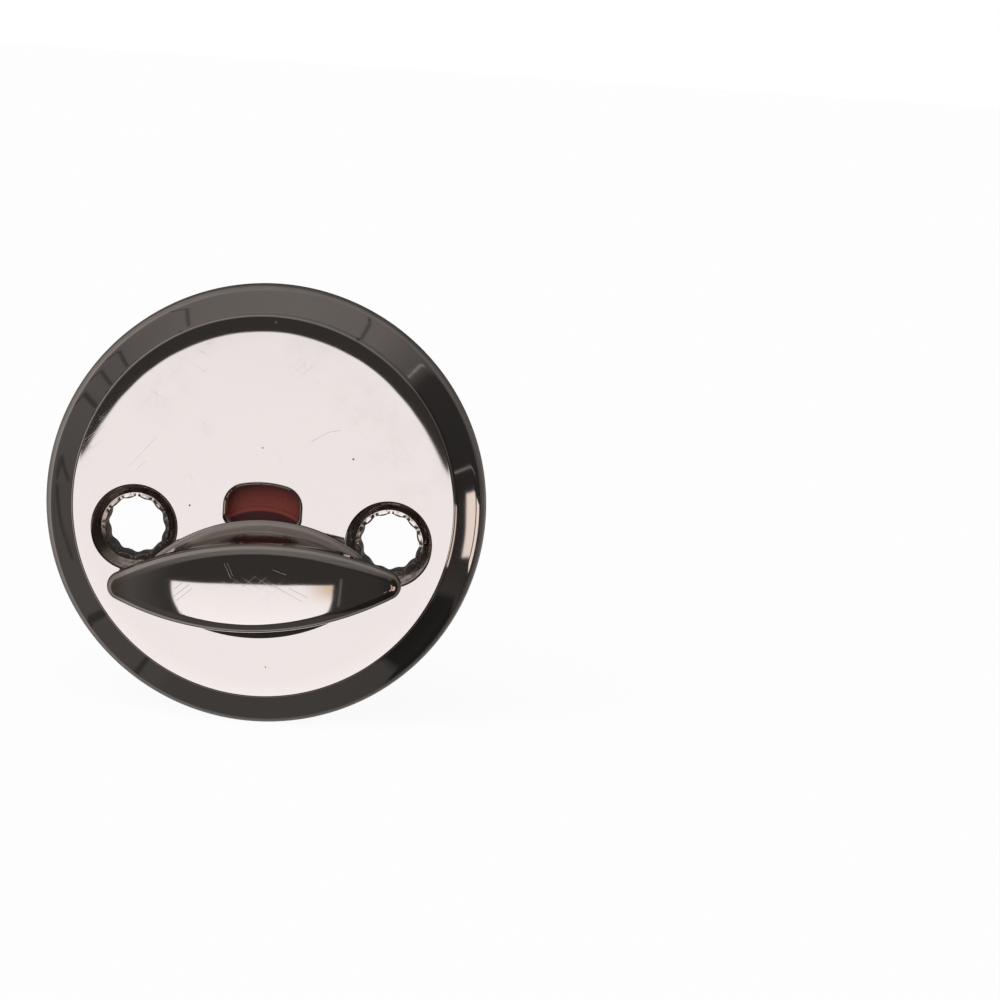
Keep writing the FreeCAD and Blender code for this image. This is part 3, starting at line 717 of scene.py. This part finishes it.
def hole_surface(s, centre, count):
    """Countersink with a rounded edge, a narrow ledge at its foot, and a notched bore."""
    edge, ledge = s.sink_edge, s.ledge_edge
    start = s.sink_radius + edge * math.tan(math.radians(22.5))
    rounding = arc((start, s.height - edge), edge, 90.0, 135.0, 8)
    foot = np.array((s.bore_radius + s.ledge_width, s.height - s.sink_radius + s.bore_radius + s.ledge_width))
    cone = rounding[-1] + (foot - rounding[-1]) * np.linspace(0.0, 1.0, 10)[1:, None]
    lip = arc((s.bore_radius + ledge, foot[1] - s.ledge_fall - ledge), ledge, 90.0, 180.0, 6)
    wall = np.stack([np.full(8, s.bore_radius), np.linspace(lip[-1, 1], 0.0, 9)[1:]], axis=-1)
    profile = np.concatenate([rounding, cone, lip, wall])
    depth = np.clip((s.bore_radius + ledge - profile[:, :1]) / ledge, 0.0, 1.0)
    return revolved(profile, centre, count, depth * notch_pattern(s, count))


def boss_loop(s, centre, count):
    """Round boss, cut back where the disc's pocket passes it."""
    loop = circle(centre, s.boss_radius, count)
    reach = np.linalg.norm(loop, axis=1, keepdims=True)
    return loop * np.maximum(1.0, s.room_radius / reach)


class THUMBTURN_OT_rose(bpy.types.Operator):
    """Draws the polished rose with its screw holes, window, hollow back and stop lug"""
    bl_idname = "thumb_turn.rose"
    bl_label = "Rose"

    def execute(self, context):
        s = context.scene.thumb_turn_rose
        shell = Shell()
        rim = revolved(rim_profile(s), (0.0, s.rise), RIM_STEPS)
        shell.grid(rim)
        face_holes, floor_holes = [], []
        for side in (-0.5, 0.5):
            centre = (s.screw_spacing * side, s.screw_rise)
            hole = hole_surface(s, centre, STEPS_PER_NOTCH * s.notch_count)
            boss = boss_loop(s, centre, BOSS_STEPS)
            shell.grid(hole)
            shell.grid(lifted(boss, np.array([[0.0], [s.cavity_depth]])))
            shell.flat(0.0, boss, hole[-1][:, ::2])
            face_holes.append(hole[0][:, ::2])
            floor_holes.append(boss)
        window = carried(window_loop(s), np.concatenate([
            arc((0.0, s.height - s.window_edge), s.window_edge, 90.0, 0.0, 13),
            [(s.window_edge, s.cavity_depth)]]))
        shell.grid(window)
        bush = circle((0.0, 0.0), s.bush_radius, BUSH_STEPS)
        shell.grid(lifted(bush, np.array([[s.height], [s.cavity_depth]])))
        lug_place = (s.lug_reach * math.cos(s.lug_bearing), s.lug_reach * math.sin(s.lug_bearing))
        lug = circle(lug_place, s.lug_radius, LUG_STEPS)
        shell.grid(lifted(lug, np.array([[s.cavity_depth], [s.lug_end]])))
        shell.flat(s.lug_end, lug)
        shell.flat(s.height, rim[-1][:, ::2], window[0][:, ::2], bush, *face_holes)
        shell.flat(s.cavity_depth, rim[0][:, ::2], window[-1][:, ::2], bush, lug, *floor_holes)
        piece = shell.build("polished_rose", "rose", "rose")
        finish_piece(piece, "polished_nickel")
        return {"FINISHED"}


# Thumb turn


def lens_loops(sections):
    """Pointed ovals: two flat arcs that run smoothly into round tips, sampled by the direction they face.

    The tip's circle sits at half length minus tip radius, and the flat arc's circle touches it where
    both face the same way, so a point is its circle's centre plus radius (cos a, sin a).
    """
    half_length, half_width, tip = (sections[:, column:column + 1] for column in (1, 2, 3))
    reach = half_length - tip
    flat = (reach ** 2 + half_width ** 2 - tip ** 2) / (2 * (half_width - tip))
    joint = np.arctan2(flat - half_width, reach)
    end, side = np.linspace(-1.0, 1.0, 49)[:-1], np.linspace(0.0, 1.0, 97)[:-1]
    facing = np.concatenate([
        joint * end, joint + (math.pi - 2 * joint) * side,
        math.pi + joint * end, math.pi + joint + (math.pi - 2 * joint) * side], axis=1)
    ends, sides = np.ones(end.size), np.zeros(side.size)
    across = np.concatenate([ends, sides, -ends, sides])
    down = np.concatenate([ends * 0, sides - 1, ends * 0, sides + 1])
    radius = np.where(across != 0, tip, flat)
    centre = np.stack([reach * across, (flat - half_width) * down], axis=-1)
    normal = np.stack([np.cos(facing), np.sin(facing)], axis=-1)
    return centre + radius[..., None] * normal, normal


def crown_height(s, flat):
    """Top of the grip less the fall of a circle along the wings and of one across them."""
    along = s.crown_length - np.sqrt(s.crown_length ** 2 - flat[..., 0] ** 2)
    return s.top - along - (s.crown_width - np.sqrt(s.crown_width ** 2 - (flat[..., 1] + s.crown_drop) ** 2))


def crown_slope(s, flat, outward):
    """How steeply the crown falls towards the outside."""
    along = flat[..., 0] / np.sqrt(s.crown_length ** 2 - flat[..., 0] ** 2)
    off_crest = flat[..., 1] + s.crown_drop
    across = off_crest / np.sqrt(s.crown_width ** 2 - off_crest ** 2)
    return along * outward[..., 0] + across * outward[..., 1]


def grip_surface(s):
    """Rows of the grip: flank through foot, waist and wing, side, edge rounded into the crown, crown."""
    t = np.linspace(0.0, 1.0, 41)[:, None]
    foot, waist, wing = (np.array(section) for section in (s.foot, s.waist, s.wing))
    sections = foot * (1 - t) * (1 - 2 * t) + waist * 4 * t * (1 - t) + wing * t * (2 * t - 1)
    flank, _ = lens_loops(sections)
    outline, normal = lens_loops(wing[None, :])
    edge = s.edge_radius
    tilt = np.arctan(crown_slope(s, outline - edge * normal, normal))
    bend = np.linspace(0.0, 1.0, 18)[:, None] * (math.pi / 2 - tilt)
    rounded = outline - edge * (1 - np.cos(bend))[..., None] * normal
    shoulder = crown_height(s, rounded[-1]) - edge * np.cos(tilt)
    crown = rounded[-1] * np.linspace(1.0, 0.0, 40)[1:, None, None] ** 0.8
    return np.concatenate([
        lifted(flank, sections[:, :1]),
        lifted(outline, wing[0] + s.hem),
        lifted(rounded, shoulder + edge * np.sin(bend)),
        lifted(crown, crown_height(s, crown)),
    ])


class THUMBTURN_OT_turn(bpy.types.Operator):
    """Draws the boat-shaped grip on the hub of the thumb turn"""
    bl_idname = "thumb_turn.turn"
    bl_label = "Thumb turn"

    def execute(self, context):
        s = context.scene.thumb_turn_grip
        shell = Shell()
        at_rest = np.array(Matrix.Rotation(-s.rest_turn, 3, "Y"))
        grip = grip_surface(s) @ at_rest.T
        shell.grid(grip)

        def hub_and_socket(points):
            near_axis = np.hypot(points[:, 0], points[:, 2]) < s.socket_reach
            return (points[:, 1] > -s.foot[0] - SAME_PLANE) | (near_axis & (points[:, 1] > -s.wing[0]))

        hub = shell.cad("thumb_turn", hub_and_socket, -s.foot[0])
        shell.flat(s.foot[0], grip[0][:, ::2], hub)
        piece = shell.build("boat_grip", "turn", "thumb_turn")
        finish_piece(piece, "polished_nickel")
        return {"FINISHED"}


# Pieces behind the rose


class THUMBTURN_OT_indicator(bpy.types.Operator):
    """Finishes the disc behind the window and the washer in front of it"""
    bl_idname = "thumb_turn.indicator"
    bl_label = "Indicator"

    def execute(self, context):
        finish_piece(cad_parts["indicator_disc"], "indicator_plastic")
        finish_piece(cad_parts["hub_washer"], "indicator_plastic")
        return {"FINISHED"}


class THUMBTURN_OT_works(bpy.types.Operator):
    """Finishes the bush, conical spring, retaining ring, spindle and cross pin"""
    bl_idname = "thumb_turn.works"
    bl_label = "Works behind the rose"

    def execute(self, context):
        finish_piece(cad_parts["bearing_bush"], "bush_nylon")
        for node in ("cone_spring", "retaining_ring"):
            finish_piece(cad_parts[node], "spring_steel")
        for node in ("square_spindle", "spindle_pin"):
            finish_piece(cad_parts[node], "plain_steel")
        return {"FINISHED"}


# Stage


def paper_material(paper):
    """Pale paper that is white where the camera, a mirror or glass sees it, and takes soft shadows."""
    material, board = new_material("studio_paper")
    fibres = board.noise(board.millimetres(), 0.4, 3.0)
    pulp = board.blend(fibres * 0.1, rgba(paper), rgba((0.86, 0.86, 0.86)))
    matt = board.add("ShaderNodeBsdfDiffuse", None, {"Color": pulp})
    glow = board.add("ShaderNodeEmission", None, {"Color": rgba((1.0, 1.0, 1.0)), "Strength": 1.0})
    seen = [board.add("ShaderNodeLightPath", None, None, ray)
            for ray in ("Is Camera Ray", "Is Glossy Ray", "Is Transmission Ray")]
    shown = seen[0].highest(seen[1]).highest(seen[2]) * 0.94
    board.surface(board.add("ShaderNodeMixShader", None, {0: shown, 1: matt, 2: glow}))
    return material


def add_sheet(name, corners, material):
    mesh = bpy.data.meshes.new(name)
    mesh.from_pydata(corners, [], [tuple(range(len(corners)))])
    mesh.materials.append(material)
    sheet = bpy.data.objects.new(name, mesh)
    bpy.context.scene.collection.objects.link(sheet)
    return sheet


def card(across, up, left, right, low, high, soft):
    """Soft-edged rectangle on a far plane, in tangents across and up as seen from the rose."""
    wide = across.rise(left - soft, left + soft) * across.rise(right + soft, right - soft)
    return wide * up.rise(low - soft, low + soft) * up.rise(high + soft, high - soft)


# Tones of the studio round the line of sight, in front of the rose and beside it: place from below over
# the left, top and right, and tone
SURROUND = (
    (0.0, 0.058), (0.075, 0.058), (0.08, 0.068), (0.13, 0.068), (0.135, 0.074), (0.225, 0.074),
    (0.333, 0.105), (0.411, 0.140), (0.50, 0.152), (0.583, 0.135), (0.630, 0.085), (0.645, 0.028),
    (0.75, 0.022), (0.81, 0.025), (0.846, 0.040), (0.851, 0.014), (0.915, 0.014), (0.92, 0.054),
    (1.0, 0.058),
)
BESIDE = ((0.0, 0.25), (0.25, 0.33), (0.5, 0.23), (0.62, 0.19), (0.75, 0.14), (0.85, 0.17), (1.0, 0.25))
# Dark stands between the cards and thin lamps: bearing clockwise from above and half width, in degrees
STANDS = (
    (-146.1, 0.8), (-130.8, 1.3), (-75.0, 1.0), (-67.5, 0.7), (-60.6, 0.8), (-37.7, 0.7), (24.4, 0.9),
)
GLINTS = ((47.1, 0.5), (85.7, 0.5))
# Loose cable on the left: from and to as bearing in degrees and stretched slope, and half width
CABLE_STRETCH = 40.0
CABLE = (
    ((-97.0, 40.6), (-91.9, 40.1), 0.8), ((-91.9, 40.1), (-96.6, 45.3), 0.8),
    ((-98.9, 41.4), (-115.7, 47.8), 0.8),
)
# Bright cards as tangents: left, right, low, high and softness of the edge
WHITE_CARD = (-1.0, 0.3815, -0.72, -0.082, 0.006)
BRIGHT_SLIT = (0.310, 0.317, -0.23, -0.03, 0.003)
# Levels: straight ahead, close behind the rose, and what stands, cable, lamps and slit add or take
AHEAD_TONE, DARK_TONE = 0.034, 0.03
STAND_SHADE, CABLE_SHADE, GLINT_LEVEL, SLIT_LEVEL = 0.55, 0.5, 0.2, 0.14
# For red, green and blue: tint of the dim studio, level of the cream card, and shade on the white card
TINTS = ((1.04, 0.93, 0.25), (1.0, 0.83, 0.38), (0.94, 0.75, 0.52))


def lines_at(bearing, lines):
    """1 on narrow lines that run out from the line of sight."""
    return total(abs(bearing - math.radians(middle)).rise(math.radians(half), math.radians(half * 0.5))
                 for middle, half in lines)


def studio_world():
    """Dim studio: white card low in front, grey surround, grey behind; white where the camera sees it.

    across and up are tangents as seen from the rose, slope is the tangent away from straight ahead.
    """
    world = bpy.data.worlds.new("studio")
    bpy.context.scene.world = world
    board = Board(world)
    x, y, z = board.split(board.add("ShaderNodeTexCoord", None, None, "Generated"))
    ahead = (0.0 - y).highest(0.02)
    across, up = x / ahead, z / ahead
    bearing = x.maths("ARCTAN2", z)
    degrees, place = bearing * (180.0 / math.pi), bearing / (2 * math.pi) + 0.5
    surround = board.add("ShaderNodeValToRGB", {"stops": SURROUND}, {0: place})
    beside = board.add("ShaderNodeValToRGB", {"stops": BESIDE}, {0: place})
    slope = (across ** 2 + up ** 2) ** 0.5
    # Surround with stands, lamps and cable, fading to dark straight ahead
    glints = lines_at(bearing, GLINTS) * slope.rise(1.2, 1.05)
    surround = surround * (1.0 - lines_at(bearing, STANDS) * STAND_SHADE) + glints * GLINT_LEVEL
    cable = total(stroke(degrees, slope * CABLE_STRETCH, *run) for run in CABLE)
    surround = surround * (1.0 - cable.lowest(1.0) * CABLE_SHADE)
    front = AHEAD_TONE + (surround - AHEAD_TONE) * (slope + up * 0.3).rise(0.42, 0.76)
    front = front + card(across, up, *BRIGHT_SLIT) * SLIT_LEVEL
    # Beside and behind the rose
    side = front + (beside - front) * (y + z * 0.22 - x * 0.18).rise(-0.22, 0.06)
    behind = 0.05 + (0.0 - z).rise(-0.35, 0.25) * 0.30
    dim = side + (DARK_TONE - side) * y.rise(0.40, 0.62)
    dim = dim + behind * y.rise(0.60, 0.76) * y.rise(0.97, 0.92)
    # Cream card low on the right, once near and once far out
    reach = slope - (degrees - 94.0) * 0.003
    near = reach.rise(0.60, 0.62) * reach.rise(0.755, 0.742)
    far = slope.rise(0.90, 0.96) * slope.rise(2.6, 2.0)
    cream = (near + far) * degrees.rise(93.2, 93.9) * degrees.rise(114.0, 113.0)
    # White card with sides drawn in towards its foot, shaded at the upper right
    below = (-0.14 - up).highest(0.0)
    off_middle = abs(across + 0.1025 - below * 0.05) + below ** 2
    key = card(off_middle, up - across * 0.033, *WHITE_CARD) * y.rise(-0.1, -0.3)
    bright = key * (0.985 - up * 0.35)
    shade = across.rise(0.12, 0.27) * up.rise(-0.24, -0.09)
    camera = board.add("ShaderNodeLightPath", None, None, "Is Camera Ray")
    mirrored = 1.0 - camera
    shades = [(dim * tint + cream * ivory + bright * (1.0 - shade * brown)) * mirrored + camera
              for tint, ivory, brown in TINTS]
    sky = board.add("ShaderNodeCombineColor", None, dict(enumerate(shades)))
    back = board.add("ShaderNodeBackground", None, {"Color": sky, "Strength": 1.0})
    board.add("ShaderNodeOutputWorld", None, {"Surface": back})


def add_sun(light_from, softness, strength):
    """One broad soft light for the matt pieces and the paper; mirrors see the studio instead."""
    data = bpy.data.lights.new("soft_light", "SUN")
    data.angle = softness
    data.energy = strength
    lamp = bpy.data.objects.new("soft_light", data)
    bpy.context.scene.collection.objects.link(lamp)
    lamp.rotation_euler = (-Vector(light_from)).to_track_quat("-Z", "Y").to_euler()
    lamp.visible_glossy = False


def add_camera(s, centre):
    """Long lens at the photograph's viewing angle, with the rose left of the middle."""
    toward = Vector((math.sin(s.azimuth) * math.cos(s.elevation),
                     -math.cos(s.azimuth) * math.cos(s.elevation), math.sin(s.elevation)))
    right = Vector((math.cos(s.azimuth), math.sin(s.azimuth), 0.0))
    up = toward.cross(right)
    rolled_right = right * math.cos(s.roll) + up * math.sin(s.roll)
    rolled_up = up * math.cos(s.roll) - right * math.sin(s.roll)
    aim = centre + rolled_right * s.aim_right + rolled_up * s.aim_up
    data = bpy.data.cameras.new("camera")
    data.lens = data.sensor_width * s.distance / s.frame_width
    data.clip_start = 0.01
    camera = bpy.data.objects.new("camera", data)
    bpy.context.scene.collection.objects.link(camera)
    turned_to = Matrix((rolled_right, rolled_up, toward)).transposed()
    camera.matrix_world = Matrix.Translation(aim + toward * s.distance) @ turned_to.to_4x4()
    bpy.context.scene.camera = camera


class THUMBTURN_OT_stage(bpy.types.Operator):
    """Sets up floor, studio, soft light and camera"""
    bl_idname = "thumb_turn.stage"
    bl_label = "Stage"

    def execute(self, context):
        s = context.scene.thumb_turn_stage
        rose = context.scene.thumb_turn_rose
        context.scene.view_settings.view_transform = "Standard"
        paper = paper_material(s.paper)
        low = CAD_BOX[0][2] - s.floor_gap
        corners = [(x * s.floor_reach, y * s.floor_reach, low)
                   for x, y in ((-1, -1), (1, -1), (1, 1), (-1, 1))]
        floor = add_sheet("floor", corners, paper)
        floor.visible_glossy = False
        studio_world()
        add_sun(s.light_from, s.softness, s.light)
        add_camera(s, Vector((0.0, -rose.side_height, rose.rise)))
        return {"FINISHED"}


class THUMBTURN_PT_panel(bpy.types.Panel):
    """Pieces of the thumb turn and their settings"""
    bl_idname = "THUMBTURN_PT_panel"
    bl_label = "Thumb Turn"
    bl_space_type = "VIEW_3D"
    bl_region_type = "UI"
    bl_category = "Thumb Turn"

    def draw(self, context):
        for operator in PIECES:
            self.layout.operator(operator.bl_idname)
        for name in SETTINGS:
            group = getattr(context.scene, name)
            box = self.layout.box()
            for prop in group.__annotations__:
                box.prop(group, prop)


PIECES = (
    THUMBTURN_OT_rose, THUMBTURN_OT_turn, THUMBTURN_OT_indicator, THUMBTURN_OT_works, THUMBTURN_OT_stage,
)
SETTINGS = {
    "thumb_turn_rose": RoseSizes, "thumb_turn_grip": TurnSizes,
    "thumb_turn_finishes": Finishes, "thumb_turn_stage": StageSizes,
}
CLASSES = (*SETTINGS.values(), *PIECES, THUMBTURN_PT_panel)


def register():
    for item in CLASSES:
        bpy.utils.register_class(item)
    for name, group in SETTINGS.items():
        setattr(bpy.types.Scene, name, bpy.props.PointerProperty(type=group))


def unregister():
    for name in SETTINGS:
        delattr(bpy.types.Scene, name)
    for item in reversed(CLASSES):
        bpy.utils.unregister_class(item)


def main():
    register()
    bpy.ops.thumb_turn.rose()
    bpy.ops.thumb_turn.turn()
    bpy.ops.thumb_turn.indicator()
    bpy.ops.thumb_turn.works()
    bpy.ops.thumb_turn.stage()


if __name__ == "__main__":
    main()
